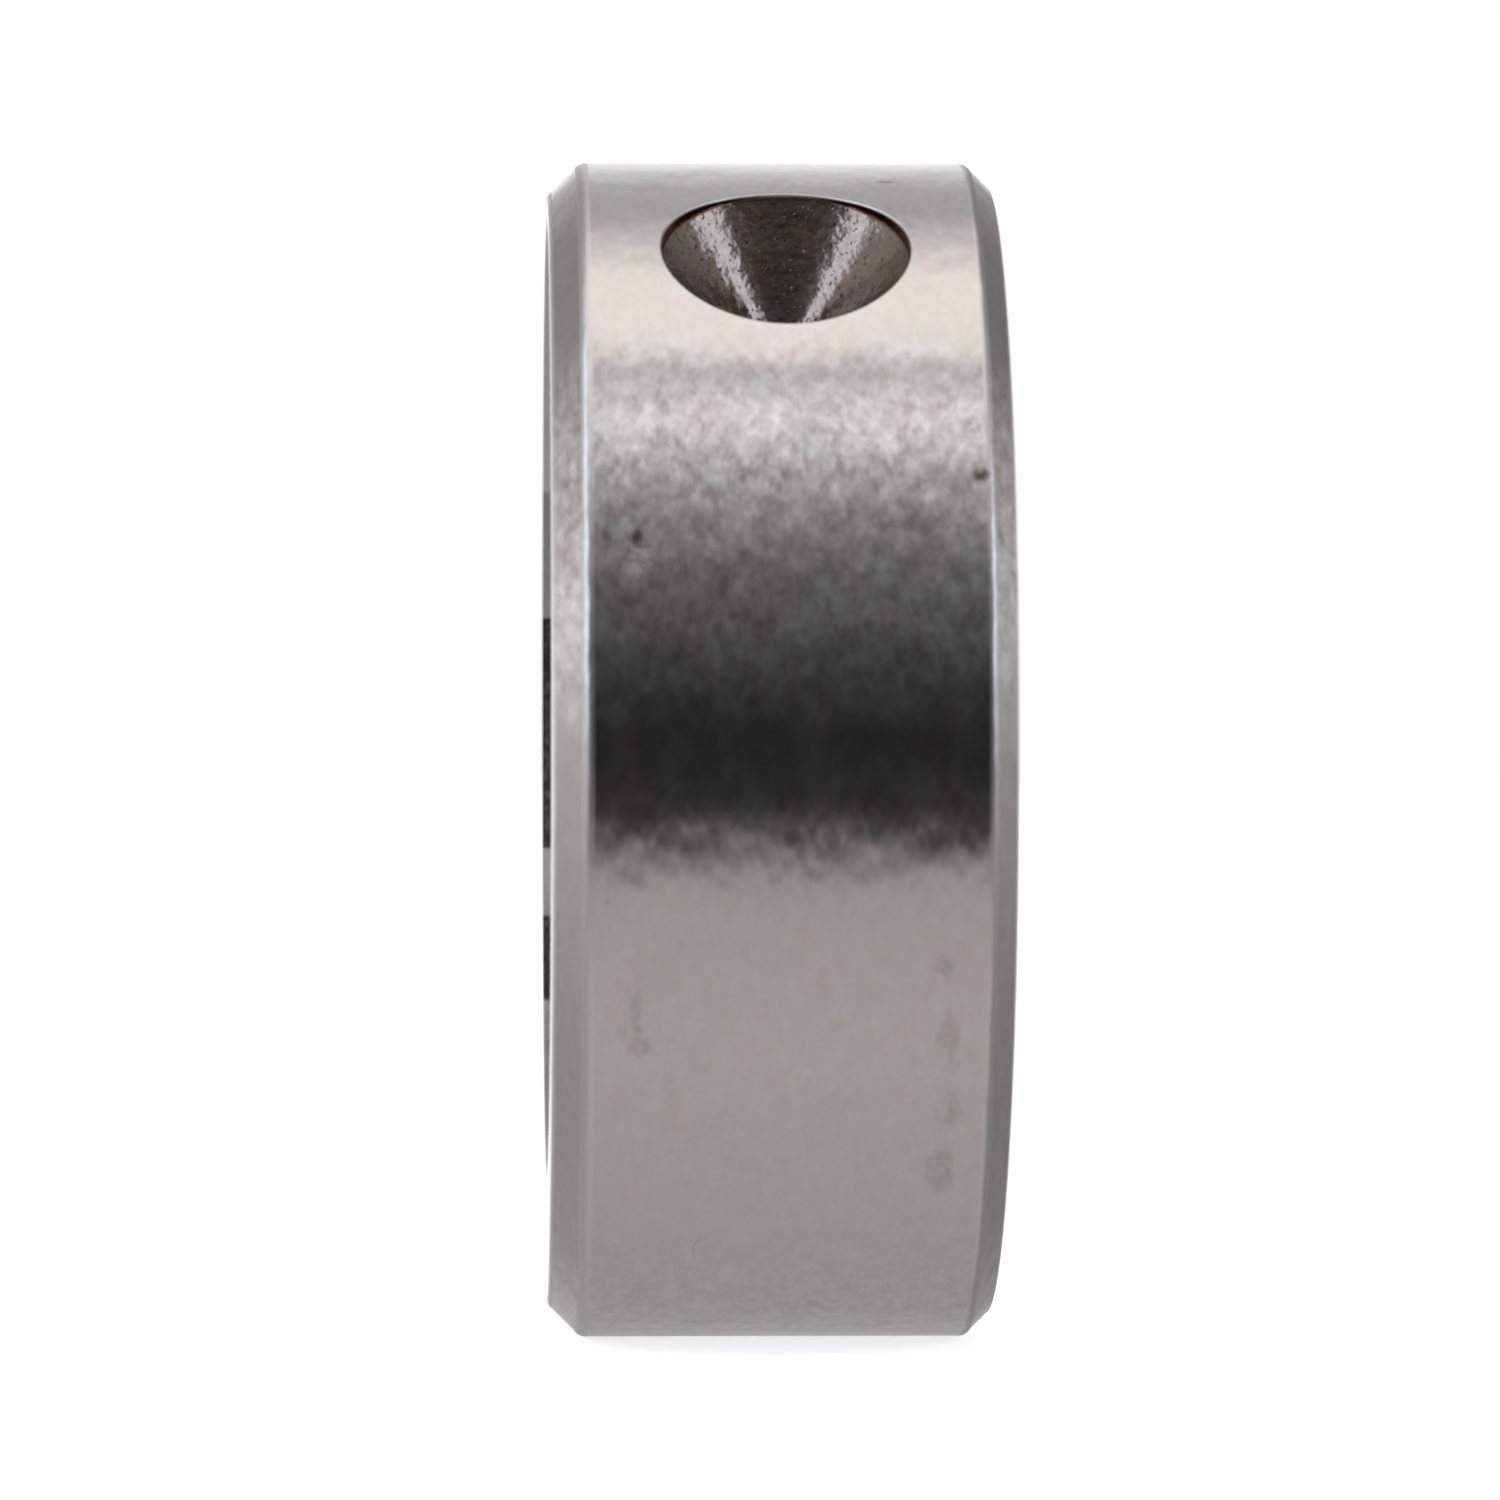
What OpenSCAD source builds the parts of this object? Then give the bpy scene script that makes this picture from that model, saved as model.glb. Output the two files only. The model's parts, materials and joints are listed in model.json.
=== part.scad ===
// Eccentric self-locking shaft collar with its cup-point set screw.
// The shaft axis is X. The cam recess opens on the -X face, the plain face is +X.
// The drift hole faces -Y and up, and the set screw comes in from +Y.
// The origin is on the shaft axis, midway between the two side faces.

/* [Collar] */
// Outer diameter of the rim
collar_d = 36; // [35:0.5:42]
// Width between the two side faces
collar_w = 13.5; // [13:0.1:16]
// Diameter of the shaft bore
bore_d = 20; // [17:0.5:21]
// 45 degree chamfer between the rim and the cam-side face
cam_side_chamfer = 1.0; // [0.4:0.05:1.2]
// 45 degree chamfer between the rim and the plain face
plain_side_chamfer = 0.75; // [0.4:0.05:1.2]
// 45 degree chamfer at each mouth of the bore
bore_chamfer = 0.5; // [0.2:0.1:0.8]

/* [Cam recess] */
// Diameter of the off-centre recess that closes over a bearing's cam
recess_d = 28.8; // [27:0.1:29.2]
// Depth of the recess from the cam-side face
recess_depth = 4.2; // [3.6:0.1:4.4]
// Height of the recess axis above the shaft axis
recess_offset = 1.65; // [1:0.05:1.7]
// 45 degree chamfer at the mouth of the recess
recess_chamfer = 0.3; // [0.1:0.05:0.4]

/* [Drift hole] */
// Diameter of the blind spot-drilled hole that takes the punch
drift_d = 7.4; // [6:0.1:8]
// Included angle of the hole's conical floor
drift_cone_angle = 90; // [90:5:120]
// Depth of the hole's straight wall below the crown of the rim
drift_wall = 0.5; // [0.45:0.05:0.8]
// Lean of the hole from straight up towards -Y
drift_tilt = 34; // [20:1:50]
// Distance of the hole from mid-width towards the plain face
drift_x = 0.25; // [0:0.05:0.5]

/* [Set screw] */
// Nominal diameter of the thread
screw_d = 6; // [5:1:6]
// Pitch of the thread
screw_pitch = 1; // [0.75:0.05:1]
// Overall length of the screw
screw_l = 6; // [6:0.5:7]
// Angle round the rim from the drift hole to the screw
screw_from_drift = 120; // [110:5:150]
// Distance of the screw's axis from mid-width towards the plain face
screw_x = 2.0; // [1.8:0.1:2.3]
// Depth of the cup point inside the bore wall at rest
screw_back_off = 0.5; // [0.2:0.1:1]
// Width of the hexagon socket across its flats
socket_af = 3; // [2.5:0.5:3]
// Depth of the hexagon socket
socket_depth = 3; // [2:0.1:3.2]
// Diameter of the rim of the cup point
cup_d = 3; // [2.4:0.1:3]

/* [Hidden] */
$fn = 96;

// Cutters run this far past the surface that they open
overcut = 0.5;

rim_r = collar_d / 2;
bore_r = bore_d / 2;
half_w = collar_w / 2;
recess_r = recess_d / 2;
recess_floor_x = recess_depth - half_w;
drift_r = drift_d / 2;
drift_cone_h = drift_r / tan(drift_cone_angle / 2);
screw_tilt = drift_tilt - screw_from_drift;

// The hole is drawn at the thread's outer size, and the screw's crests run clear of it
screw_hole_r = screw_d / 2;
thread_clearance = 0.05;
crest_r = screw_hole_r - thread_clearance;
thread_depth = 0.56 * screw_pitch;
root_r = crest_r - thread_depth;
crest_flat = screw_pitch / 8;
flank_run = thread_depth * tan(30);
hole_mouth_chamfer = 0.4;

screw_end_chamfer = 0.5;
cup_land = 0.1;
cup_half_angle = 60;
socket_corner_r = socket_af / 2 / cos(30);
socket_floor_angle = 60;
socket_mouth_chamfer = 0.15;

// Turns a shape drawn along +Z so that it lies along +X
module along_shaft() {
    rotate([0, 90, 0]) children();
}

// Puts a shape drawn up +Z from the shaft axis on a radius that leans from straight up towards -Y
module on_radius(tilt, x) {
    translate([x, 0, 0]) rotate([tilt, 0, 0]) children();
}

// Cutter for a 45 degree chamfer round a hole of radius r whose mouth opens upwards at z = 0
module mouth_chamfer(r, size) {
    translate([0, 0, -size]) cylinder(h = size + overcut, r1 = r, r2 = r + size + overcut);
}

// The turned ring before any hole is cut
module blank() {
    along_shaft() rotate_extrude() polygon([
        [0, -half_w],
        [rim_r - cam_side_chamfer, -half_w],
        [rim_r, -half_w + cam_side_chamfer],
        [rim_r, half_w - plain_side_chamfer],
        [rim_r - plain_side_chamfer, half_w],
        [0, half_w]
    ]);
}

// Through bore with a chamfer at the plain face and one at the floor of the recess
module shaft_bore_cut() {
    along_shaft() {
        translate([0, 0, -half_w - overcut]) cylinder(h = collar_w + 2 * overcut, r = bore_r);
        translate([0, 0, half_w]) mouth_chamfer(bore_r, bore_chamfer);
        translate([0, 0, recess_floor_x]) mirror([0, 0, 1]) mouth_chamfer(bore_r, bore_chamfer);
    }
}

// Off-centre round recess in the cam-side face
module cam_recess_cut() {
    translate([0, 0, recess_offset]) along_shaft() {
        translate([0, 0, -half_w - overcut]) cylinder(h = recess_depth + overcut, r = recess_r);
        translate([0, 0, -half_w]) mirror([0, 0, 1]) mouth_chamfer(recess_r, recess_chamfer);
    }
}

// Blind hole with a short straight wall and a conical floor
module drift_hole_cut() {
    on_radius(drift_tilt, drift_x) translate([0, 0, rim_r - drift_wall]) {
        cylinder(h = drift_wall + overcut, r = drift_r);
        translate([0, 0, -drift_cone_h]) cylinder(h = drift_cone_h, r1 = 0, r2 = drift_r);
    }
}

// Radial hole for the set screw, from the rim into the bore
module screw_hole_cut() {
    on_radius(screw_tilt, screw_x) {
        translate([0, 0, bore_r - 2 * overcut])
            cylinder(h = rim_r - bore_r + 3 * overcut, r = screw_hole_r);
        translate([0, 0, rim_r]) mouth_chamfer(screw_hole_r, hole_mouth_chamfer);
    }
}

// Rod with ring-shaped 60 degree grooves at the thread's pitch, from z = 0 up to the given length
module grooved_rod(length) {
    pitches = ceil(length / screw_pitch);
    grooves = [
        for (i = [0 : pitches - 1], p = [
            [crest_r, 0],
            [crest_r, crest_flat],
            [root_r, crest_flat + flank_run],
            [root_r, screw_pitch - flank_run]
        ]) [p[0], p[1] + i * screw_pitch]
    ];
    rotate_extrude() polygon(concat([[0, 0]], grooves, [[0, grooves[len(grooves) - 1][1]]]));
}

// Outer form of the screw: a cone down to the cup's rim below, a chamfered end above
module screw_envelope() {
    cup_r = cup_d / 2;
    cone_h = screw_hole_r - cup_r;
    rotate_extrude() polygon([
        [0, 0],
        [cup_r, 0],
        [screw_hole_r, cone_h],
        [screw_hole_r, screw_l - screw_end_chamfer],
        [screw_hole_r - screw_end_chamfer, screw_l],
        [0, screw_l]
    ]);
}

// Conical hollow in the screw's point, open downwards at z = 0
module cup_cut() {
    r = cup_d / 2 - cup_land;
    slope = tan(cup_half_angle);
    translate([0, 0, -overcut]) cylinder(h = r / slope + overcut, r1 = r + overcut * slope, r2 = 0);
}

// Hexagon socket with a drilled floor, open upwards at z = screw_l
module socket_cut() {
    floor_h = socket_af / 2 / tan(socket_floor_angle);
    translate([0, 0, screw_l - socket_depth])
        cylinder(h = socket_depth + overcut, r = socket_corner_r, $fn = 6);
    translate([0, 0, screw_l - socket_depth - floor_h])
        cylinder(h = floor_h, r1 = 0, r2 = socket_af / 2);
    translate([0, 0, screw_l])
        mouth_chamfer(socket_af / 2, socket_corner_r - socket_af / 2 + socket_mouth_chamfer);
}

module collar_body() {
    color([0.64, 0.61, 0.60])
    difference() {
        blank();
        shaft_bore_cut();
        cam_recess_cut();
        drift_hole_cut();
        screw_hole_cut();
    }
}

module set_screw() {
    color([0.22, 0.22, 0.24])
    on_radius(screw_tilt, screw_x) translate([0, 0, bore_r + screw_back_off])
    difference() {
        intersection() {
            grooved_rod(screw_l + screw_pitch);
            screw_envelope();
        }
        cup_cut();
        socket_cut();
    }
}

collar_body();
set_screw();
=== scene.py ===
"""Looks of an eccentric shaft collar and its set screw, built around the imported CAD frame.

Everything is in metres, in the frame of the CAD: the shaft axis is X, and the collar stands on its rim.
"""

import json
import math

import bmesh
import bpy
import numpy as np
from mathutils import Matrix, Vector


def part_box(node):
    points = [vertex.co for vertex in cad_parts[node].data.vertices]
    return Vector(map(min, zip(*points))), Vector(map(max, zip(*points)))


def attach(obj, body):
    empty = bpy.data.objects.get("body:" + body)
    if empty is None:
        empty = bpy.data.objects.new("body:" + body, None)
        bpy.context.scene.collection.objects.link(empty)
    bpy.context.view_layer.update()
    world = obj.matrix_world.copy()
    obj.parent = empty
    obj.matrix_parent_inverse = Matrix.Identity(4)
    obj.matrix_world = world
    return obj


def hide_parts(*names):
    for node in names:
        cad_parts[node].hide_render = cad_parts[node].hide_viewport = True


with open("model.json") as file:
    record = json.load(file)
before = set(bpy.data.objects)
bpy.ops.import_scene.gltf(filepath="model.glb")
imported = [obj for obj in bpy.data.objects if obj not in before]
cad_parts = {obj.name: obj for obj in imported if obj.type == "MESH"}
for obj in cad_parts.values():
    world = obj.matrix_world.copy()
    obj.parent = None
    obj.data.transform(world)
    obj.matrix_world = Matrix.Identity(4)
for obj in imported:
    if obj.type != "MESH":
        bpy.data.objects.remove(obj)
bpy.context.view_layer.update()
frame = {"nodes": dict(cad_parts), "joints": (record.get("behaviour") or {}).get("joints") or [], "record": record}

MM = 0.001
SUPPORT = 0.04 * MM  # flat strip kept beside each rounded edge, so that shading stays crisp

# ---------------------------------------------------------------- sizes, from the frame

mounts = {m["name"]: m for m in frame["record"]["mounts"]}
body_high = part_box("collar_body")[1]
HALF_W = body_high.x
RIM_R = round(body_high.z, 5)
BORE_R = mounts["shaft_bore"]["dims"]["r_mm"] * MM
RECESS_R = mounts["cam_recess"]["dims"]["r_mm"] * MM
RECESS_LIFT = mounts["cam_recess"]["pos_m"][2]
RECESS_FLOOR = mounts["cam_recess"]["pos_m"][0] + mounts["cam_recess"]["dims"]["length_mm"] * MM / 2
SCREW_AXIS = Vector(frame["joints"][0]["axis"]).normalized()

# the collar's own details
CAM_SIDE_CHAMFER = 1.0 * MM
PLAIN_SIDE_CHAMFER = 0.75 * MM
BORE_CHAMFER = 0.5 * MM
RECESS_CHAMFER = 0.3 * MM
DRIFT_R = 3.7 * MM
DRIFT_WALL = 0.5 * MM
COLUMNS = 360  # points round the collar

# the thread: right-hand, 60 degree, M6 x 1
PITCH = 1.0 * MM
NUT_CREST_R = 2.46 * MM
NUT_ROOT_R = 3.0 * MM
BOLT_CREST_R = 2.95 * MM
BOLT_ROOT_R = 2.39 * MM
FLANK_SLOPE = 1 / math.tan(math.radians(30))  # radius gained per length along the axis
FLANK_GAP = 0.04 * MM


class Hole:
    """A radial line out of the shaft axis, with right-handed directions across, side and out."""

    def __init__(self, x, out):
        self.start = np.array([x, 0.0, 0.0])
        self.out = np.array(Vector(out).normalized())
        self.across = np.array([1.0, 0.0, 0.0])
        self.side = np.cross(self.out, self.across)

    def points(self, theta, radius, height):
        """Points at an angle and a radius round the line, and at a height along it."""
        theta, radius, height = np.broadcast_arrays(theta, radius, height)
        return (
            self.start
            + np.outer(radius * np.cos(theta), self.across)
            + np.outer(radius * np.sin(theta), self.side)
            + np.outer(height, self.out)
        )

    def flat(self, points):
        """Where points lie across and to the side of the line."""
        offset = np.asarray(points) - self.start
        return offset @ self.across, offset @ self.side

    def tilt(self):
        """Turn about X that takes straight up to this line."""
        return math.atan2(-self.out[1], self.out[2])


screw_node = frame["nodes"]["set_screw"]
screw_low, screw_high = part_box("set_screw")
DRIFT = Hole(mounts["drift_hole"]["pos_m"][0], mounts["drift_hole"]["axis"])
SCREW = Hole((screw_low.x + screw_high.x) / 2, SCREW_AXIS)
screw_heights = [v.co.dot(SCREW_AXIS) for v in screw_node.data.vertices]
SCREW_TIP_H, SCREW_TOP_H = min(screw_heights), max(screw_heights)


# ---------------------------------------------------------------- mesh tools


class Shell:
    """A closed mesh, made of loops of points joined by quads.

    Each point carries marks from 0 to 1: wear on edges that rub bright; soil where the steel is
    darkened, as painted shade in the recess and the drift hole, with drill oil on the hole's cone and a little
    darkening in the bore and the screw hole; and drilled on the torn surface that a drill's point leaves.
    """

    MARKS = ("wear", "soil", "drilled")

    def __init__(self):
        self.points, self.faces = [], []
        self.marks = {name: [] for name in self.MARKS}

    def loop(self, points, **marks):
        first = len(self.points)
        self.points.extend(tuple(p) for p in points)
        count = len(self.points) - first
        for name in self.MARKS:
            self.marks[name].extend([marks.get(name, 0.0)] * count)
        return list(range(first, first + count))

    def join(self, a, b):
        for k in range(len(a)):
            n = (k + 1) % len(a)
            self.faces.append((a[k], a[n], b[n], b[k]))

    def cap(self, a, point, **marks):
        tip = self.loop([point], **marks)[0]
        for k in range(len(a)):
            self.faces.append((a[k], a[(k + 1) % len(a)], tip))

    def sweep(self, rings):
        """Joins a list of loops in order."""
        for a, b in zip(rings, rings[1:]):
            self.join(a, b)

    def build(self, name, material):
        mesh = bpy.data.meshes.new(name)
        mesh.from_pydata(self.points, [], self.faces)
        for mark, values in self.marks.items():
            layer = mesh.attributes.new(mark, "FLOAT", "POINT")
            layer.data.foreach_set("value", np.array(values, np.float32))
        bm = bmesh.new()
        bm.from_mesh(mesh)
        bmesh.ops.delete(bm, geom=[v for v in bm.verts if not v.link_faces], context="VERTS")
        bmesh.ops.recalc_face_normals(bm, faces=bm.faces)
        bm.to_mesh(mesh)
        bm.free()
        mesh.shade_smooth()
        mesh.materials.append(material)
        piece = bpy.data.objects.new(name, mesh)
        bpy.context.scene.collection.objects.link(piece)
        return piece


def bend(start, corner, end, steps):
    """Points of a smooth bend between two points that leaves and arrives along the corner's sides."""
    start, corner, end = map(np.asarray, (start, corner, end))
    for t in np.linspace(0, 1, steps + 1):
        yield (1 - t) ** 2 * start + 2 * t * (1 - t) * corner + t**2 * end


def rounded_section(corners):
    """Rows (x, radius, lift, soil, wear) of a closed cross-section, and the row where each edge starts.

    A corner is (name, x, radius, fillet, rows of the straight edge to the next corner, lift, soil).
    """
    section, starts = [], {}
    count = len(corners)
    spots = [np.array(c[1:3]) for c in corners]
    along = []
    for k in range(count):
        step = spots[(k + 1) % count] - spots[k]
        along.append(step / np.linalg.norm(step))
    reach = []
    for k in range(count):
        half = math.acos(np.clip(-along[k - 1] @ along[k], -1, 1)) / 2
        reach.append(corners[k][3] / math.tan(half))
    for k, (name, _, _, _, rows, lift, soil) in enumerate(corners):
        n = (k + 1) % count
        for p in bend(spots[k] - along[k - 1] * reach[k], spots[k], spots[k] + along[k] * reach[k], 6):
            section.append([*p, lift, soil, 1.0])
        starts[name] = len(section)
        first = spots[k] + along[k] * (reach[k] + SUPPORT)
        last = spots[n] - along[k] * (reach[n] + SUPPORT)
        for t in np.linspace(0, 1, rows + 1):
            p = first + (last - first) * t
            there = lift + (corners[n][5] - lift) * t
            section.append([*p, there, soil + (corners[n][6] - soil) * t, 0.0])
    return section, starts


def on_skin(radius, side):
    """Height above the shaft axis of a cylinder's skin, at a distance to the side."""
    return np.sqrt(radius**2 - side**2)


def window_loop(grid, row_low, row_high, column, half_columns):
    """The grid points round a rectangular window, from its +X side, anticlockwise seen from outside."""
    step = 1 if row_low < row_high else -1
    low_to_high = range(row_low, row_high, step)
    high_to_low = range(row_high, row_low, -step)
    n = len(grid[0])
    cells = [(row_high, column - k) for k in range(half_columns)]
    cells += [(i, column - half_columns) for i in high_to_low]
    cells += [(row_low, column + k) for k in range(-half_columns, half_columns)]
    cells += [(i, column + half_columns) for i in low_to_high]
    cells += [(row_high, column + k) for k in range(half_columns, 0, -1)]
    return [grid[i][j % n] for i, j in cells]


def skin_to_mouth(shell, loop, hole, skin_r, mouth_r, rows):
    """Rings on a cylinder's skin, from a window's edge to a circle round a hole, and their angles."""
    across, side = hole.flat([shell.points[k] for k in loop])
    theta = np.arctan2(side, across)
    mouth = mouth_r(theta) if callable(mouth_r) else np.full(len(theta), mouth_r)
    rings = [loop]
    for share in np.linspace(0, 1, rows + 1)[1:]:
        share = 1 - (1 - share) ** 1.6  # the rings lie closer together towards the hole
        x = across + (mouth * np.cos(theta) - across) * share
        y = side + (mouth * np.sin(theta) - side) * share
        points = hole.points(np.arctan2(y, x), np.hypot(x, y), on_skin(skin_r, y))
        rings.append(shell.loop(points))
    return rings, theta


# ---------------------------------------------------------------- the collar's body


def thread_radius(theta, height, crest_r, root_r, half_crest):
    """Radius of a thread's surface. crest_r is where the nut's thread is narrowest, at phase 0."""
    phase = np.mod(height / PITCH - theta / (2 * math.pi) + 0.5, 1) - 0.5
    climb = (np.abs(phase) * PITCH - half_crest) * FLANK_SLOPE
    return np.clip(crest_r + climb, crest_r, root_r)


def nut_radius(theta, height):
    return thread_radius(theta, height, NUT_CREST_R, NUT_ROOT_R, PITCH / 8)


def bolt_radius(theta, height):
    root_drop = (NUT_CREST_R - BOLT_ROOT_R) / FLANK_SLOPE
    half_root = PITCH / 8 + FLANK_GAP - root_drop
    return thread_radius(theta, height, BOLT_ROOT_R, BOLT_CREST_R, half_root)


def tool_rings(depth):
    """Shallow rings left by a drill's lips, as a height along the way down the cone."""
    waves = [(0.23, 0.0), (0.37, 1.3), (0.61, 4.1), (1.3, 2.2)]
    return sum(math.sin(2 * math.pi * depth / (w * MM) + p) for w, p in waves) / len(waves)


def cut_drift_hole(shell, grid, window):
    """Blind hole: a rounded mouth, a short straight wall and a cone with the drill's rings on it."""
    edge, foot = 0.07 * MM, 0.03 * MM
    ring_height = 0.0012 * MM
    cone_rows = 130
    loop = window_loop(grid, *window)
    rings, theta = skin_to_mouth(shell, loop, DRIFT, RIM_R, DRIFT_R + edge, 9)

    def mouth_height(radius):
        return on_skin(RIM_R, radius * np.sin(theta))

    top = mouth_height(DRIFT_R)
    out = np.stack([np.full(len(theta), DRIFT_R + edge), mouth_height(DRIFT_R + edge)])
    corner = np.stack([np.full(len(theta), DRIFT_R), top])
    down = np.stack([np.full(len(theta), DRIFT_R), top - edge])
    for radius, height in list(bend(out, corner, down, 5))[1:]:
        rings.append(shell.loop(DRIFT.points(theta, radius, height), wear=1.0))
    # the wall and the cone are darkened through soil: painted shade inside the hole, with drill oil on the cone
    cone_top = RIM_R - DRIFT_WALL
    for share in (0.1, 0.5, 0.9):
        height = top - edge + (cone_top + foot - top + edge) * share
        rings.append(shell.loop(DRIFT.points(theta, DRIFT_R, height), soil=1.0))
    slant = math.sqrt(0.5)
    foot_end = (DRIFT_R - foot * slant, cone_top - foot * slant)
    for radius, height in bend((DRIFT_R, cone_top + foot), (DRIFT_R, cone_top), foot_end, 3):
        rings.append(shell.loop(DRIFT.points(theta, radius, height), soil=0.8, drilled=1.0))
    for share in np.linspace(0.02, 0.985, cone_rows):
        depth = DRIFT_R * share
        swell = ring_height * tool_rings(depth) * slant
        points = DRIFT.points(theta, DRIFT_R - depth - swell, cone_top - depth + swell)
        rings.append(shell.loop(points, soil=0.72, drilled=1.0))
    shell.sweep(rings)
    shell.cap(rings[-1], DRIFT.points(0.0, 0.0, cone_top - DRIFT_R)[0], soil=0.72, drilled=1.0)


def cut_screw_hole(shell, grid, rim_window, bore_window):
    """Threaded hole from the rim to the bore, with a countersunk mouth and a broken inner edge."""
    edge = 0.05 * MM
    sink_depth = 0.4 * MM
    inner_r = 3.05 * MM  # the inner end's broken edge meets the bore here
    wall_rows = 230
    slant = math.sqrt(0.5)

    def sink_radius(height):
        return NUT_ROOT_R + height - (RIM_R - sink_depth)

    def mouth_radius(theta):
        radius = np.full(len(theta), NUT_ROOT_R)
        for _ in range(12):
            radius = sink_radius(on_skin(RIM_R, radius * np.sin(theta)))
        return radius

    outer_loop = window_loop(grid, *rim_window)
    inner_loop = window_loop(grid, *bore_window)
    rings, theta = skin_to_mouth(shell, outer_loop, SCREW, RIM_R, lambda a: mouth_radius(a) + edge, 8)
    inner_rings, inner_theta = skin_to_mouth(shell, inner_loop, SCREW, BORE_R, inner_r + edge, 8)

    def skin_point(radius, angle, skin_r):
        return np.stack([radius, on_skin(skin_r, radius * np.sin(angle))])

    mouth = mouth_radius(theta)
    corner = skin_point(mouth, theta, RIM_R)
    outside = skin_point(mouth + edge, theta, RIM_R)
    for radius, height in list(bend(outside, corner, corner - edge * slant, 4))[1:]:
        rings.append(shell.loop(SCREW.points(theta, radius, height), wear=1.0))

    inner = skin_point(np.full(len(theta), inner_r), inner_theta, BORE_R)
    inner_end = inner + np.array([[-edge * slant], [edge * slant]])
    top_h, low_h = corner[1] - edge * slant, inner_end[1]
    turn = np.mod(inner_theta - theta + math.pi, 2 * math.pi) - math.pi
    for share in np.linspace(0, 1, wall_rows + 1)[1:-1]:
        angle = theta + turn * share
        height = top_h + (low_h - top_h) * share
        inner_break = inner_r - (height - inner[1])
        radius = np.maximum.reduce([nut_radius(angle, height), sink_radius(height), inner_break])
        rings.append(shell.loop(SCREW.points(angle, radius, height), soil=0.4))
    wide = skin_point(np.full(len(theta), inner_r + edge), inner_theta, BORE_R)
    for radius, height in list(bend(inner_end, inner, wide, 4))[:-1]:
        rings.append(shell.loop(SCREW.points(inner_theta, radius, height), wear=1.0))
    shell.sweep(rings + inner_rings[::-1])


def make_collar(material):
    """The turned ring: one closed cross-section swept round the shaft axis, with the two holes let in."""
    chamfered_r = RIM_R - CAM_SIDE_CHAMFER
    # the last number of each corner is its soil: painted shade on the recess wall, a little darkening round the
    # bore
    section, starts = rounded_section(
        [
            ("rim", CAM_SIDE_CHAMFER - HALF_W, RIM_R, 0.48 * MM, 38, 0, 0),
            ("plain chamfer", HALF_W - PLAIN_SIDE_CHAMFER, RIM_R, 0.32 * MM, 4, 0, 0),
            ("plain face", HALF_W, RIM_R - PLAIN_SIDE_CHAMFER, 0.22 * MM, 12, 0, 0),
            ("bore chamfer", HALF_W, BORE_R + BORE_CHAMFER, 0.08 * MM, 3, 0, 0.1),
            ("bore", HALF_W - BORE_CHAMFER, BORE_R, 0.08 * MM, 20, 0, 0.2),
            ("floor chamfer", RECESS_FLOOR + BORE_CHAMFER, BORE_R, 0.08 * MM, 3, 0, 0.2),
            ("recess floor", RECESS_FLOOR, BORE_R + BORE_CHAMFER, 0.08 * MM, 8, 0, 0),
            ("recess wall", RECESS_FLOOR, RECESS_R, 0.25 * MM, 12, RECESS_LIFT, 0.6),
            ("recess chamfer", RECESS_CHAMFER - HALF_W, RECESS_R, 0.08 * MM, 2, RECESS_LIFT, 0),
            ("cam face", -HALF_W, RECESS_R + RECESS_CHAMFER, 0.08 * MM, 8, RECESS_LIFT, 0),
            ("cam chamfer", -HALF_W, chamfered_r, 0.35 * MM, 4, 0, 0),
        ]
    )
    angle = DRIFT.tilt() + np.linspace(0, 2 * math.pi, COLUMNS, endpoint=False)
    up = np.stack([np.zeros(COLUMNS), -np.sin(angle), np.cos(angle)], axis=1)
    shell = Shell()
    grid = []
    for x, radius, lift, soil, wear in section:
        grid.append(shell.loop(np.array([x, 0, lift]) + up * radius, wear=wear, soil=soil))

    turn_to_screw = (SCREW.tilt() - DRIFT.tilt()) % (2 * math.pi)
    screw_column = round(turn_to_screw / (2 * math.pi) * COLUMNS)
    rim, bore = starts["rim"], starts["bore"]

    # where the holes come through the skin: (first row, last row, middle column, columns to each side)
    drift_window = (rim + 4, rim + 35, 0, 15)
    rim_window = (rim + 13, rim + 37, screw_column, 18)
    bore_window = (bore + 18, bore + 2, screw_column, 22)
    cut = set()
    for low, high, column, half in (drift_window, rim_window, bore_window):
        for i in range(min(low, high), max(low, high)):
            for j in range(column - half, column + half):
                cut.add((i, j % COLUMNS))
    for i in range(len(grid)):
        below = (i + 1) % len(grid)
        for j in range(COLUMNS):
            right = (j + 1) % COLUMNS
            if (i, j) not in cut:
                shell.faces.append((grid[i][j], grid[i][right], grid[below][right], grid[below][j]))

    cut_drift_hole(shell, grid, drift_window)
    cut_screw_hole(shell, grid, rim_window, bore_window)
    return shell.build("collar", material)


# ---------------------------------------------------------------- the set screw


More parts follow.
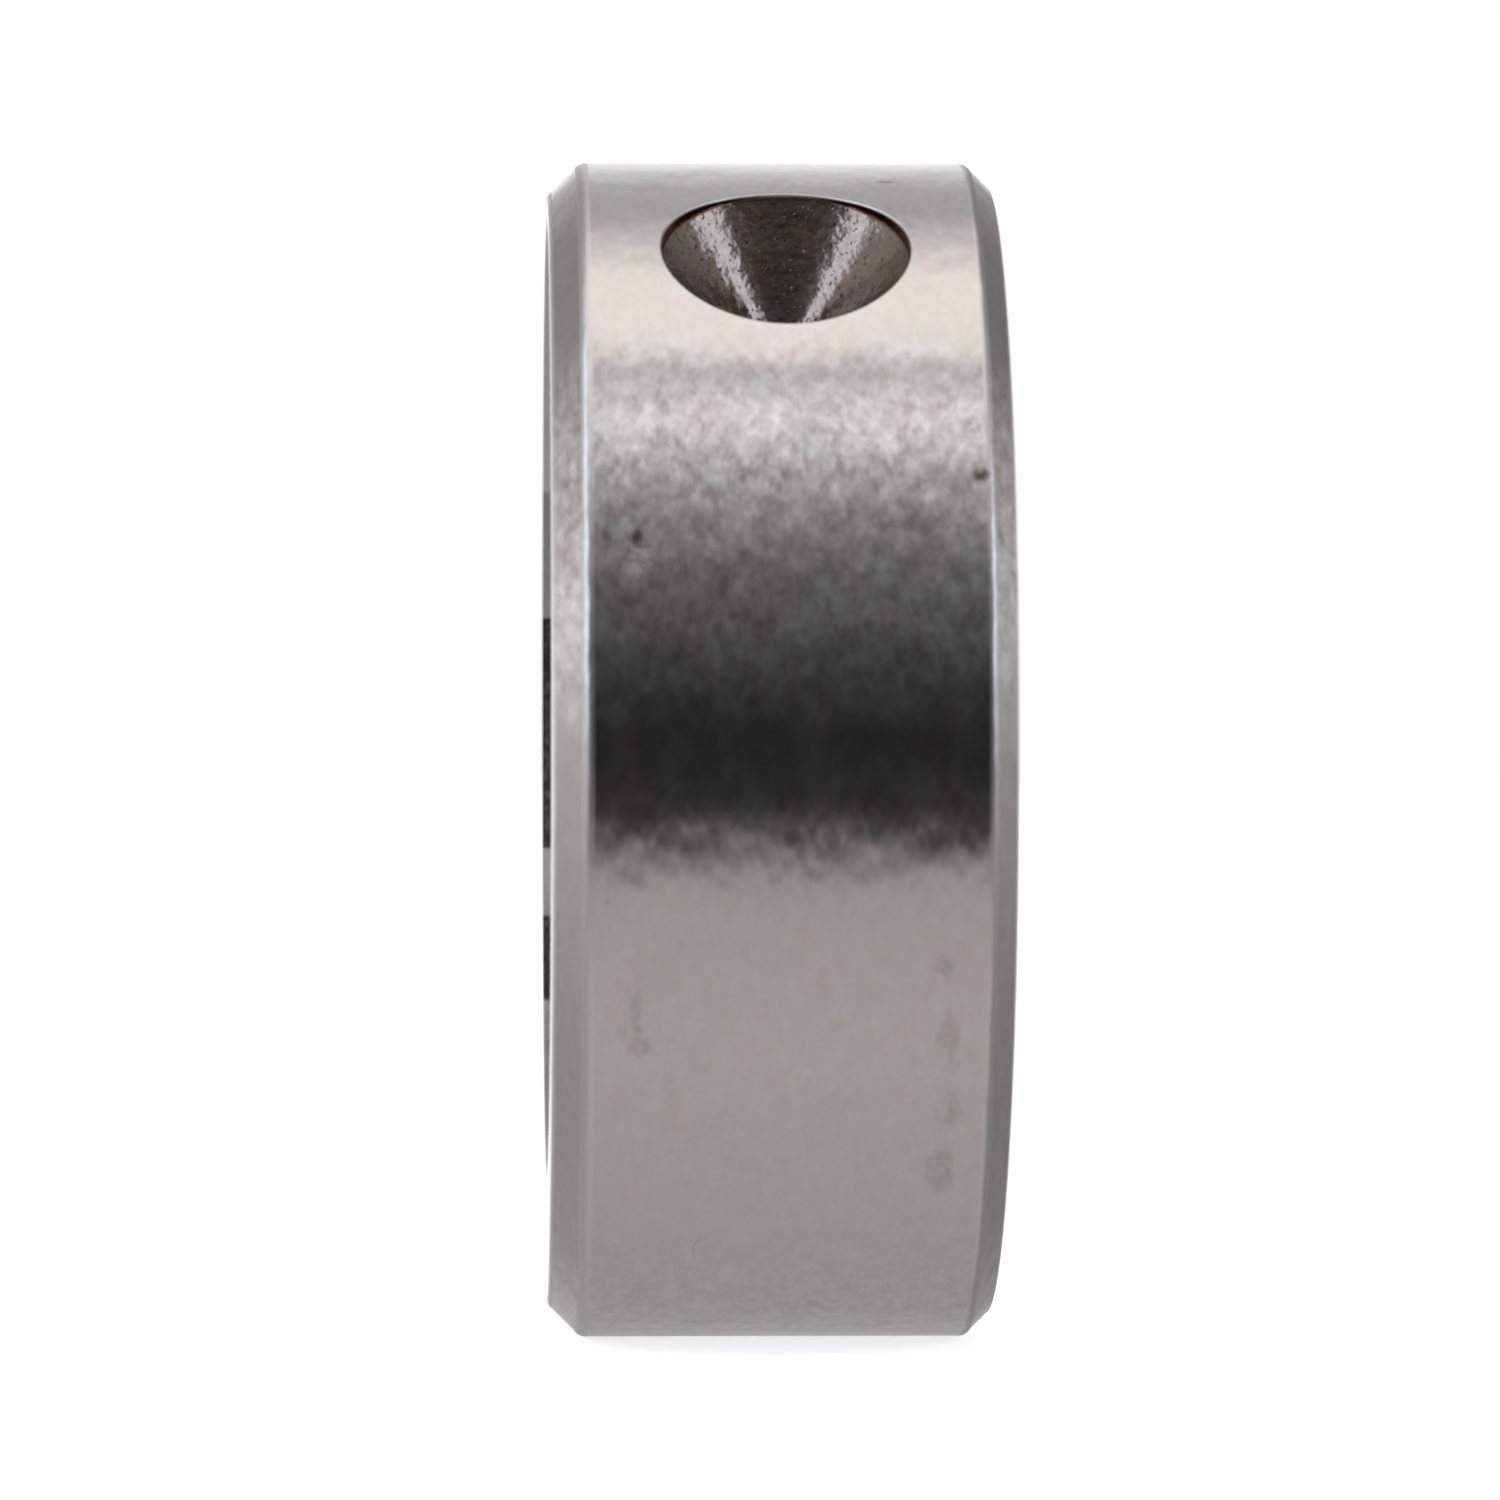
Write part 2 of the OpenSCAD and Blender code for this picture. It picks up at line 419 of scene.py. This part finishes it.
def make_set_screw(material):
    """Hexagon socket set screw: loops from the socket's floor, over the thread, into the cup point."""
    columns = 144
    thread_rows = 190
    half_flats = 1.5 * MM
    socket_corner_r = 1.715 * MM  # the broach leaves the hexagon's corners slightly rounded
    socket_depth = 3.0 * MM
    socket_mouth_r = 1.88 * MM
    end_chamfer = 0.5 * MM
    outer_r = NUT_ROOT_R
    cup_rim_r = 1.5 * MM
    cup_r = 1.38 * MM
    drill_slope = math.tan(math.radians(30))
    theta = np.linspace(0, 2 * math.pi, columns, endpoint=False)
    to_corner = np.abs(np.mod(theta, math.pi / 3) - math.pi / 6)
    hexagon = np.minimum(half_flats / np.cos(math.pi / 6 - to_corner), socket_corner_r)
    top, tip = SCREW_TOP_H, SCREW_TIP_H
    floor = top - socket_depth
    cup_h = tip + 0.02 * MM
    edge, blunt = 0.04 * MM, 0.03 * MM  # how far the rounding of an edge reaches
    shell = Shell()
    rings = []

    def ring(radius, height, wear=0.0):
        rings.append(shell.loop(SCREW.points(theta, radius, height), wear=wear))

    for radius in (0.3 * half_flats, 0.7 * half_flats, half_flats - blunt):
        ring(radius, floor - (half_flats - radius) * drill_slope)
    ring(hexagon - 0.01 * MM, floor)
    for height in np.linspace(floor + 0.02 * MM, top - 0.5 * MM, 8):
        ring(hexagon, height)
    for height in np.linspace(top - 0.45 * MM, top - blunt, 22):
        ring(np.maximum(hexagon, socket_mouth_r - (top - height)), height)
    socket_edge = ((socket_mouth_r - blunt, top - blunt), (socket_mouth_r, top), (socket_mouth_r + edge, top))
    for radius, height in bend(*socket_edge, 4):
        ring(radius, height, 1.0)
    flat_r = outer_r - end_chamfer
    for share in (0.1, 0.5, 0.9):
        ring(socket_mouth_r + (flat_r - socket_mouth_r) * share, top)
    end_edge = ((flat_r - 0.05 * MM, top), (flat_r, top), (flat_r + edge, top - edge))
    for radius, height in bend(*end_edge, 4):
        ring(radius, height, 1.0)
    for height in np.linspace(top - 0.06 * MM, tip + 0.05 * MM, thread_rows):
        cone_r = min(flat_r + top - height, cup_rim_r + height - tip)
        ring(np.minimum(bolt_radius(theta, height), cone_r), height)
    cup_edge = ((cup_rim_r + edge, tip + edge), (cup_rim_r, tip), (cup_r, cup_h))
    for radius, height in bend(*cup_edge, 4):
        ring(radius, height, 1.0)
    for share in (0.9, 0.5, 0.2):
        ring(cup_r * share, cup_h + cup_r * (1 - share) * drill_slope)
    shell.sweep(rings)
    shell.cap(rings[0], SCREW.points(0.0, 0.0, floor - half_flats * drill_slope)[0])
    shell.cap(rings[-1], SCREW.points(0.0, 0.0, cup_h + cup_r * drill_slope)[0])
    return shell.build("socket_set_screw", material)


# ---------------------------------------------------------------- materials


class Graph:
    """A short way to write a node tree: each call adds a node and returns its first output."""

    def __init__(self, tree):
        self.tree = tree
        tree.nodes.clear()

    def node(self, kind, inputs=(), output=0, **settings):
        node = self.tree.nodes.new(kind)
        for key, value in settings.items():
            setattr(node, key, value)
        pairs = inputs.items() if isinstance(inputs, dict) else enumerate(inputs)
        for key, value in pairs:
            if isinstance(value, bpy.types.NodeSocket):
                self.tree.links.new(value, node.inputs[key])
            elif value is not None:
                node.inputs[key].default_value = value
        return node.outputs[output] if node.outputs else node

    def math(self, operation, a, b=None, c=None):
        return self.node("ShaderNodeMath", [a, b, c], operation=operation)

    def product(self, first, *others):
        for other in others:
            first = self.math("MULTIPLY", first, other)
        return first

    def lerp(self, factor, a, b):
        """Goes from value a at factor 0 to value b at factor 1."""
        return self.math("MULTIPLY_ADD", factor, self.math("SUBTRACT", b, a), a)

    def scale(self, colour, factor):
        """A colour times a number."""
        return self.node("ShaderNodeVectorMath", {"Vector": colour, "Scale": factor}, operation="SCALE")

    def noise(self, vector, scale, detail=3.0, roughness=0.5):
        inputs = {"Vector": vector, "Scale": scale, "Detail": detail, "Roughness": roughness}
        return self.node("ShaderNodeTexNoise", inputs)

    def remap(self, value, low, high, to_low=0.0, to_high=1.0, smooth=True):
        kind = "SMOOTHSTEP" if smooth else "LINEAR"
        return self.node("ShaderNodeMapRange", [value, low, high, to_low, to_high], interpolation_type=kind)

    def mix(self, factor, a, b):
        """Mixes two colours."""
        node = self.tree.nodes.new("ShaderNodeMix")
        node.data_type = "RGBA"
        for socket, value in zip((node.inputs[0], node.inputs[6], node.inputs[7]), (factor, a, b)):
            if isinstance(value, bpy.types.NodeSocket):
                self.tree.links.new(value, socket)
            else:
                socket.default_value = value
        return node.outputs[2]


def grey(level, warmth=0.0):
    """A colour at a level, slightly red for warmth above 0 and slightly blue below."""
    return (level * (1 + warmth), level, level * (1 - warmth), 1)


STEEL_PINK = (0.585, 0.525, 0.518, 1)
STEEL_GREEN = (0.555, 0.532, 0.515, 1)
STEEL_BLUE = (0.535, 0.525, 0.53, 1)
STEEL_BRIGHT = (0.68, 0.65, 0.64, 1)
# painted shade: dark reddish brown on the drift hole's wall, with drill oil on its cone, with grease elsewhere
HOLE_WALL_SHADE = (0.32, 0.11, 0.065, 1)
DRILL_OIL_AND_SHADE = (0.10, 0.05, 0.012, 1)
GREASE_AND_SHADE = (0.035, 0.027, 0.022, 1)
STAIN = (0.22, 0.17, 0.14, 1)
PIT = (0.10, 0.075, 0.07, 1)

# Marks on the rim: (millimetres along the shaft, degrees up from -Y, half width, half length in millimetres)
PITS = [(-4.3, 19.9, 0.16, 0.26), (5.70, 26.3, 0.24, 0.20), (3.41, 72.2, 0.30, 0.12)]
# dents are hollows in the relief, and are also painted brighter below the pits: a painted highlight
DENTS_AND_GLINTS = [(-4.25, 18.2, 0.42, 0.55), (5.75, 25.6, 0.30, 0.35)]
STAINS = [
    (-5.1, -14.0, 0.15, 0.15),
    (-4.35, -25.8, 0.30, 0.90),
    (-4.20, -28.6, 0.32, 0.28),
    (4.60, -20.5, 0.28, 0.28),
    (4.80, -28.0, 0.30, 0.90),
    (4.87, -35.7, 0.35, 0.60),
    (4.75, -43.0, 0.40, 0.90),
    (-2.45, -55.4, 0.07, 0.75),
]

# Painted shade in bands on the edge of the recess: lower and upper end in millimetres above the shaft axis, and
# strength
SHADE_BANDS = [(-8.0, 8.3, 0.45), (-8.0, -5.3, 1.0), (-3.2, 4.3, 1.0)]


def patch(g, x, round_rim, marks):
    """1 inside any of a list of oval marks on the rim, fading to 0 outside."""
    total = None
    for middle, degrees, half_width, half_length in marks:
        across = g.math("SUBTRACT", g.math("MULTIPLY", x, 1 / MM), middle)
        across = g.math("DIVIDE", across, half_width)
        along = g.math("SUBTRACT", round_rim, math.radians(degrees))
        along = g.math("MULTIPLY", along, RIM_R / MM / half_length)
        off = g.math("ADD", g.math("POWER", across, 2.0), g.math("POWER", along, 2.0))
        inside = g.remap(off, 2.0, 0.0)
        total = inside if total is None else g.math("MAXIMUM", total, inside)
    return total


class Skin:
    """Node outputs for a point of the collar: where it lies, what marks it has and which noises it gets."""

    def __init__(self, g):
        self.g = g
        place = g.node("ShaderNodeTexCoord", output=3)
        self.x, self.y, self.z = (g.node("ShaderNodeSeparateXYZ", [place], output=k) for k in range(3))
        self.wear, self.soil, self.drilled = (
            g.node("ShaderNodeAttribute", output=2, attribute_name=mark) for mark in Shell.MARKS
        )
        squares = g.math("ADD", g.math("POWER", self.y, 2.0), g.math("POWER", self.z, 2.0))
        self.radius = g.math("SQRT", squares)
        self.round_rim = g.math("ARCTAN2", self.z, g.math("MULTIPLY", self.y, -1.0))
        normal_x = g.node("ShaderNodeSeparateXYZ", [g.node("ShaderNodeNewGeometry", output=3)])
        self.facing = g.remap(g.math("ABSOLUTE", normal_x), 0.85, 0.97)
        self.not_facing = g.math("SUBTRACT", 1.0, self.facing)

        self.sway = self.turned(2.6, 2.2, 1.0, 0.5)
        self.waves = self.turned(0.36, 1.0, 1.0, 0.4)
        self.lines = self.turned(0.10, 3.0, 2.0, 0.5)
        self.grain = self.turned(0.38, 0.58, 3.0, 0.7)
        self.film = self.turned(0.9, 1.6, 2.0, 0.6)
        self.blotch = g.noise(place, 330.0, 3.0, 0.5)
        self.smears = g.noise(place, 600.0, 5.0, 0.6)
        self.breaks = g.noise(place, 2600.0, 3.0, 0.6)
        self.torn = g.noise(place, 4200.0, 3.0, 0.5)
        self.specks = g.product(self.drilled, g.remap(g.noise(place, 6500.0, 1.0), 0.66, 0.73))

        # the rim's finish is coarser between the middle and the drift hole, and a little near the floor
        coarse = g.product(g.remap(self.round_rim, 0.0, 0.2), g.remap(self.round_rim, 0.8, 0.5))
        coarse = g.math("ADD", coarse, g.remap(self.round_rim, -0.9, -1.2, 0.0, 0.35))
        self.coarse = g.product(coarse, self.not_facing)
        self.pits = g.product(patch(g, self.x, self.round_rim, PITS), g.remap(self.breaks, 0.25, 0.5))
        self.dents_and_glints = g.product(patch(g, self.x, self.round_rim, DENTS_AND_GLINTS), g.remap(self.breaks, 0.3, 0.7))
        self.stains = self.ragged_stains()

    def turned(self, fine, long, detail, roughness):
        """Noise on turned surfaces: features of one size in millimetres across, another round the axis."""
        g = self.g
        turns = RIM_R / MM / long
        across = g.node("ShaderNodeCombineXYZ", [
            g.math("MULTIPLY", self.x, 1 / fine / MM),
            g.math("MULTIPLY", self.radius, 1 / fine / MM),
            g.math("MULTIPLY", g.math("COSINE", self.round_rim), turns),
        ])
        inputs = {
            "Vector": across,
            "W": g.math("MULTIPLY", g.math("SINE", self.round_rim), turns),
            "Scale": 1.0,
            "Detail": detail,
            "Roughness": roughness,
        }
        return g.node("ShaderNodeTexNoise", inputs, noise_dimensions="4D")

    def ragged_stains(self):
        """The stains on the rim, with outlines that wander."""
        g = self.g
        x = g.math("MULTIPLY_ADD", g.math("SUBTRACT", self.waves, 0.5), 1.2 * MM, self.x)
        round_rim = g.math("MULTIPLY_ADD", g.math("SUBTRACT", self.breaks, 0.5), 0.05, self.round_rim)
        return g.product(patch(g, x, round_rim, STAINS), g.remap(self.torn, 0.1, 0.75))


def steel_relief(g, skin):
    """Height of the finish in millimetres: turned rim, smoother bore, faced sides, torn cone and dent hollows."""
    rim = g.product(skin.waves, g.math("MULTIPLY_ADD", skin.coarse, 0.015, 0.025))
    rim = g.math("MULTIPLY_ADD", skin.lines, 0.0016, rim)
    rim = g.math("MULTIPLY_ADD", skin.sway, 0.06, rim)
    rim = g.product(rim, g.remap(skin.radius, BORE_R * 1.1, BORE_R * 1.3, 0.3, 1.0))
    faced = g.product(g.math("ADD", skin.waves, skin.lines), 0.007)
    faced = g.math("MULTIPLY_ADD", skin.sway, 0.02, faced)
    torn = g.math("SUBTRACT", g.product(skin.torn, 0.019), g.product(skin.specks, 0.02))
    height = g.math("MULTIPLY_ADD", torn, skin.drilled, g.lerp(skin.facing, rim, faced))
    return g.math("SUBTRACT", height, g.product(skin.dents_and_glints, 0.007))


def clean_steel(g, skin):
    """Colour of bare steel: slightly pink, green and blue by turns, mottled, and brighter where worn."""
    colour = g.mix(g.remap(skin.blotch, 0.35, 0.65), STEEL_PINK, STEEL_GREEN)
    colour = g.mix(g.remap(skin.grain, 0.35, 0.65), colour, STEEL_BLUE)
    contrast = g.math("MULTIPLY_ADD", skin.coarse, 1.6, 0.3)
    mottle = g.product(g.math("SUBTRACT", skin.grain, 0.5), contrast)
    # dents_and_glints paint the dents up to half again as bright: a painted highlight
    brightness = g.math("ADD", g.math("MULTIPLY_ADD", skin.dents_and_glints, 0.5, mottle), 1.0)
    return g.mix(g.product(skin.wear, 0.5), g.scale(colour, brightness), STEEL_BRIGHT)


def painted_shade_on_edge(g, skin):
    """Painted shade: 1 in bands on the far part of the recess's chamfered edge, fading to 0 outside."""
    fade = 0.1
    total = None
    for low, high, strength in SHADE_BANDS:
        above_low = g.remap(skin.z, (low - fade) * MM, (low + fade) * MM)
        below_high = g.remap(skin.z, (high + fade) * MM, (high - fade) * MM, 0.0, strength)
        band = g.product(above_low, below_high)
        total = band if total is None else g.math("MAXIMUM", total, band)
    far = g.remap(skin.y, 0.0, MM)
    near_face = g.remap(skin.x, RECESS_CHAMFER * 2 - HALF_W, RECESS_CHAMFER - HALF_W)
    off_rim = g.remap(skin.radius, 16.8 * MM, 16.4 * MM)
    return g.product(total, far, near_face, off_rim, skin.not_facing)


def dirt_and_shade_on_steel(g, skin):
    """How much dirt and painted shade cover the steel, and their colour."""
    # the drift hole's wall is the only darkened surface this far out on the camera's side: evenly painted shade
    in_drift_hole = g.product(g.remap(skin.radius, 16.0 * MM, 16.5 * MM), g.remap(skin.y, 0.0, -MM))
    even = g.math("MAXIMUM", in_drift_hole, skin.drilled)
    cover = g.math("MAXIMUM", g.remap(skin.smears, 0.35, 0.62, 0.4, 1.0), even)
    dirt_and_shade = g.math("MAXIMUM", g.product(skin.soil, cover), painted_shade_on_edge(g, skin))
    dirt_and_shade = g.product(dirt_and_shade, g.remap(skin.torn, 0.2, 0.6, 0.85, 1.0))
    # painted shade and oil: dark reddish brown on the drift hole's wall, drill oil on its cone, grease elsewhere
    return dirt_and_shade, g.mix(skin.drilled, g.mix(in_drift_hole, GREASE_AND_SHADE, HOLE_WALL_SHADE), DRILL_OIL_AND_SHADE)


def steel_material():
    material = bpy.data.materials.new("turned_steel")
    material.use_nodes = True
    g = Graph(material.node_tree)
    skin = Skin(g)
    colour = g.mix(g.product(skin.stains, 0.33), clean_steel(g, skin), STAIN)
    colour = g.mix(g.product(g.math("MAXIMUM", skin.pits, skin.specks), 0.85), colour, PIT)
    # dirt_and_shade darkens the steel: painted shade in the recess and the drift hole, oil and grease elsewhere
    dirt_and_shade, dirt_and_shade_colour = dirt_and_shade_on_steel(g, skin)
    colour = g.mix(dirt_and_shade, colour, dirt_and_shade_colour)
    roughness = g.math("MULTIPLY_ADD", skin.stains, 0.15, 0.18)
    for mark, change in ((skin.wear, 0.17), (skin.drilled, -0.03), (skin.facing, 0.06)):
        roughness = g.math("MULTIPLY_ADD", mark, change, roughness)
    shine = g.remap(skin.film, 0.42, 0.65, 1.0, 0.975)  # a thin film of dirt dulls it here and there
    bump = g.node("ShaderNodeBump", {"Strength": 1.0, "Distance": MM, "Height": steel_relief(g, skin)})
    surface = g.node("ShaderNodeBsdfPrincipled", {
        "Base Color": colour, "Metallic": shine, "Roughness": roughness, "Normal": bump,
    })
    g.node("ShaderNodeOutputMaterial", [surface])
    return material


def black_oxide_material():
    material = bpy.data.materials.new("black_oxide_steel")
    material.use_nodes = True
    g = Graph(material.node_tree)
    place = g.node("ShaderNodeTexCoord", output=3)
    wear = g.node("ShaderNodeAttribute", output=2, attribute_name="wear")
    grain = g.noise(place, 9000.0, 4.0, 0.6)
    patches = g.noise(place, 1500.0, 3.0, 0.6)
    rubbed = g.math("MULTIPLY", wear, g.remap(patches, 0.35, 0.6))
    colour = g.mix(g.remap(patches, 0.3, 0.7), grey(0.035, -0.03), grey(0.06, 0.04))
    colour = g.mix(g.math("MULTIPLY", rubbed, 0.7), colour, grey(0.42, 0.02))
    roughness = g.remap(grain, 0.3, 0.7, 0.28, 0.42)
    bump = g.node("ShaderNodeBump", {"Strength": 1.0, "Distance": 0.000004, "Height": grain})
    surface = g.node("ShaderNodeBsdfPrincipled", {
        "Base Color": colour, "Metallic": 0.85, "Roughness": roughness, "Normal": bump,
    })
    g.node("ShaderNodeOutputMaterial", [surface])
    return material


# ---------------------------------------------------------------- studio

# Light from straight ahead, above, behind and below, by the angle up from the camera and over the top:
# (degrees, level, warmth). Behind the camera lies a dark room, and below it the pale table begins.
SKY = [
    (-180, 0.47, 0.02),
    (-140, 0.46, 0.02),
    (-108, 0.52, 0.02),
    (-60, 0.60, 0.03),
    (-26, 0.56, 0.03),
    (-15, 0.03, 0.0),
    (4, 0.015, 0.0),
    (18, 0.08, 0.0),
    (34, 0.18, 0.0),
    (52, 0.48, 0.0),
    (66, 1.22, 0.01),
    (72, 1.20, 0.01),
    (77, 0.50, 0.0),
    (84, 1.40, 0.04),
    (106, 1.36, 0.05),
    (118, 0.85, 0.03),
    (128, 0.58, 0.0),
    (144, 0.62, 0.0),
    (160, 0.95, 0.0),
    (180, 1.45, 0.0),
]
# Light from the left side, by height: (height, level). The right side is dimmer, and so is the rear half.
SIDES = [
    (-0.5, 0.43),
    (-0.28, 0.53),
    (0.0, 0.64),
    (0.1, 0.84),
    (0.19, 1.05),
    (0.32, 0.88),
    (0.45, 0.66),
    (1.0, 0.6),
]
RIGHT_SHARE = 0.68
REAR_SHARE = 0.55
# Two soft boxes beside the camera, leaning back:
# (left or right, degrees round from the camera at the floor, height of the upper end)
SOFT_BOXES = [(-1, 38.0, 54.5, 0.89), (1, 40.5, 58.0, 0.66)]
SOFT_BOX_LEAN = 0.6
SOFT_BOX_LIGHT = (2.1, 2.4, 2.8, 1)
BACKDROP_LEVEL = 1.5


def fill_ramp(g, value, stops):
    """A colour ramp over 0 to 1 from a list of (position, colour)."""
    node = g.tree.nodes.new("ShaderNodeValToRGB")
    g.tree.links.new(value, node.inputs[0])
    elements = node.color_ramp.elements
    while len(elements) < len(stops):
        elements.new(0.5)
    for element, (position, colour) in zip(elements, stops):
        element.position = position
        element.color = colour
    return node.outputs[0]


def side_light(g, x, z, round_from_camera):
    """Light from both sides: dimmer on the right, and towards the rear above the floor."""
    height = g.remap(z, -1.0, 1.0, smooth=False)
    sides = fill_ramp(g, height, [((h + 1) / 2, grey(level, 0.01)) for h, level in SIDES])
    rear = g.remap(round_from_camera, math.radians(105), math.radians(130))
    rear = g.product(rear, g.remap(z, 0.0, 0.2))
    share = g.remap(rear, 0.0, 1.0, 1.0, REAR_SHARE)
    return g.scale(sides, g.product(share, g.remap(x, -0.1, 0.1, 1.0, RIGHT_SHARE)))


def with_soft_boxes(g, light, x, z, front):
    """The light with the two soft boxes added to it."""
    leaning = g.math("ARCTAN2", g.math("ABSOLUTE", x), g.math("MULTIPLY_ADD", z, SOFT_BOX_LEAN, front))
    for hand, low, high, top in SOFT_BOXES:
        middle, reach = math.radians((low + high) / 2), math.radians((high - low) / 2)
        off = g.math("ABSOLUTE", g.math("SUBTRACT", leaning, middle))
        inside = g.product(
            g.remap(off, reach * 1.15, reach * 0.85),
            g.remap(g.math("MULTIPLY", x, float(hand)), 0.0, 0.05),
            g.remap(z, -0.02, 0.12),
            g.remap(z, top + 0.04, top - 0.04),
        )
        light = g.mix(inside, light, SOFT_BOX_LIGHT)
    return light


def make_world():
    world = bpy.data.worlds.new("studio")
    bpy.context.scene.world = world
    world.use_nodes = True
    g = Graph(world.node_tree)
    direction = g.node("ShaderNodeTexCoord", output=0)
    x, y, z = (g.node("ShaderNodeSeparateXYZ", [direction], output=k) for k in range(3))
    front = g.math("MULTIPLY", y, -1.0)
    from_middle = g.math("ABSOLUTE", x)
    round_from_camera = g.math("ARCTAN2", from_middle, front)
    lift = g.remap(g.math("ARCTAN2", z, front), -math.pi, math.pi, smooth=False)
    sky = fill_ramp(g, lift, [((d + 180) / 360, grey(level, warmth)) for d, level, warmth in SKY])

    # the overhead light narrows towards the rear, and ends beside the camera
    narrow, wide = g.remap(y, 0.3, 0.6, 0.2, 0.05), g.remap(y, 0.3, 0.6, 0.55, 0.22)
    sideways = g.remap(from_middle, narrow, wide)
    sideways = g.product(sideways, g.remap(round_from_camera, math.radians(48), math.radians(54)))
    light = g.mix(sideways, sky, side_light(g, x, z, round_from_camera))

    backdrop = g.product(g.remap(y, 0.2, 0.4), g.remap(g.math("ABSOLUTE", z), 0.18, 0.07))
    light = g.mix(backdrop, light, grey(BACKDROP_LEVEL))
    light = with_soft_boxes(g, light, x, z, front)
    is_camera = g.node("ShaderNodeLightPath", output=0)
    background = g.node("ShaderNodeBackground", [g.mix(is_camera, light, grey(1.0)), 1.0])
    g.node("ShaderNodeOutputWorld", [background])


def make_floor():
    """Pale paper under the rim. Only the camera sees it: its light on the steel is part of the world's."""
    size = 3.0
    mesh = bpy.data.meshes.new("floor")
    corners = [(-size, -size), (size, -size), (size, size), (-size, size)]
    mesh.from_pydata([(x, y, -RIM_R) for x, y in corners], [], [(0, 1, 2, 3)])
    material = bpy.data.materials.new("floor")
    material.use_nodes = True
    g = Graph(material.node_tree)
    place = g.node("ShaderNodeTexCoord", output=3)
    fleck = g.noise(place, 900.0, 2.0, 0.5)
    pale = g.mix(g.math("MULTIPLY", fleck, 0.02), grey(0.97), grey(0.8))
    paper = g.node("ShaderNodeBsdfDiffuse", [pale, 0.5])
    glow = g.node("ShaderNodeEmission", [grey(1.0), 0.65])
    g.node("ShaderNodeOutputMaterial", [g.node("ShaderNodeAddShader", [paper, glow])])
    mesh.materials.append(material)
    floor = bpy.data.objects.new("floor", mesh)
    bpy.context.scene.collection.objects.link(floor)
    floor.visible_diffuse = False
    floor.visible_glossy = False
    floor.visible_shadow = False


def make_camera(subject):
    """Long lens level with the shaft axis and focused on it, turned a little towards the cam-side face."""
    turn = math.radians(-1.86)
    distance = 15.3 * RIM_R
    sideways = 0.49 * MM  # the collar stands this far right of the picture's middle
    data = bpy.data.cameras.new("camera")
    data.sensor_width = 36.0
    data.lens = 214.8
    data.clip_start, data.clip_end = 0.01, 20.0
    data.dof.use_dof = True
    data.dof.focus_object = subject
    data.dof.aperture_fstop = 110.0
    camera = bpy.data.objects.new("camera", data)
    bpy.context.scene.collection.objects.link(camera)
    back = Vector((math.sin(turn), -math.cos(turn), 0))
    right = Vector((math.cos(turn), math.sin(turn), 0))
    camera.location = back * distance - right * sideways
    camera.rotation_euler = (-back).to_track_quat("-Z", "Y").to_euler()
    bpy.context.scene.camera = camera


# ---------------------------------------------------------------- the scene

collar = make_collar(steel_material())
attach(collar, "collar")
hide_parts("collar_body")

screw = make_set_screw(black_oxide_material())
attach(screw, "screw")
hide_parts("set_screw")

make_world()
make_floor()
make_camera(collar)
bpy.context.scene.view_settings.view_transform = "Standard"
